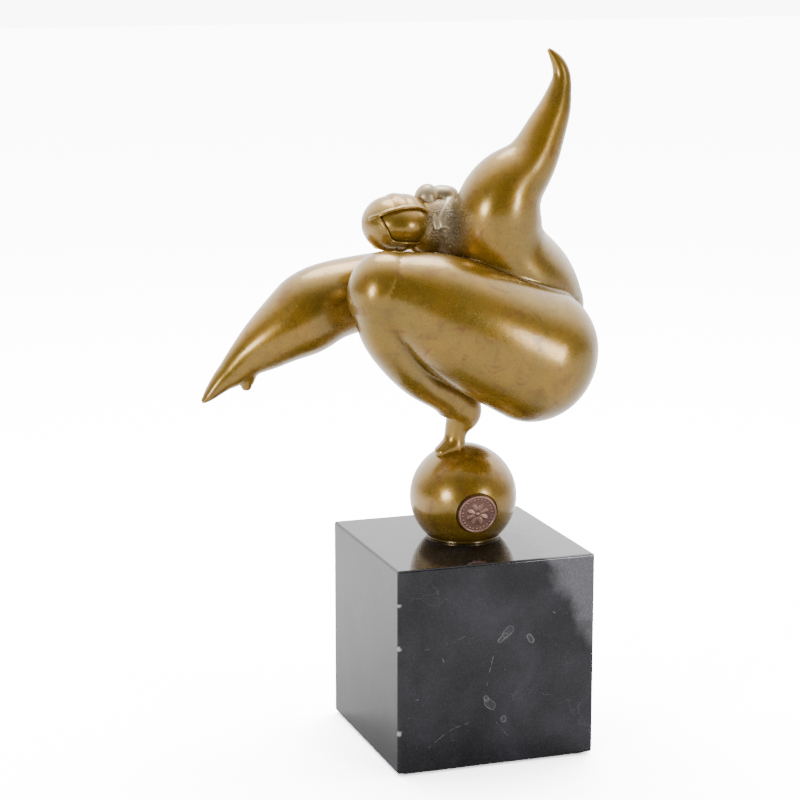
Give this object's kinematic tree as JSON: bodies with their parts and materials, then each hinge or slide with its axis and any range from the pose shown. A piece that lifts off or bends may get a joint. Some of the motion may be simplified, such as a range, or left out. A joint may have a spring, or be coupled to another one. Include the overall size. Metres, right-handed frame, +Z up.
{
  "type": "statuette",
  "caption": "Abstract bronze dancer balancing on one foot on a hollow ball, with one arm raised and one leg stretched out, bolted to a polished marble cube.",
  "frame": {"origin": "centre of the underside of the felt pad, where the base rests", "axes": "+Z up; the founder's seal and the raised arm's near side face -Y; the extended leg points to -X"},
  "size_m": [0.1533, 0.0913, 0.2772],
  "materials": {
    "marble": "polished black marble with fine white veins",
    "felt": "black felt",
    "steel": "zinc-plated steel",
    "bronze": "golden-brown patinated bronze, waxed to a soft gloss",
    "brass": "sawn brass plate",
    "seal_copper": "pinkish-brown copper medallion"
  },
  "bodies": {
    "root": {"marble_base": "marble", "felt_pad": "felt", "stud": "steel", "stud_nut": "steel", "flat_washer": "steel", "split_washer": "steel", "ball": "bronze", "anchor_plate": "brass", "seal": "seal_copper", "ankle_pin": "steel", "standing_leg": "bronze", "extended_leg": "bronze", "torso": "bronze", "raised_arm": "bronze", "far_arm": "bronze", "head": "bronze", "hair": "bronze", "hair_bun": "bronze"}
  },
  "joints": []
}
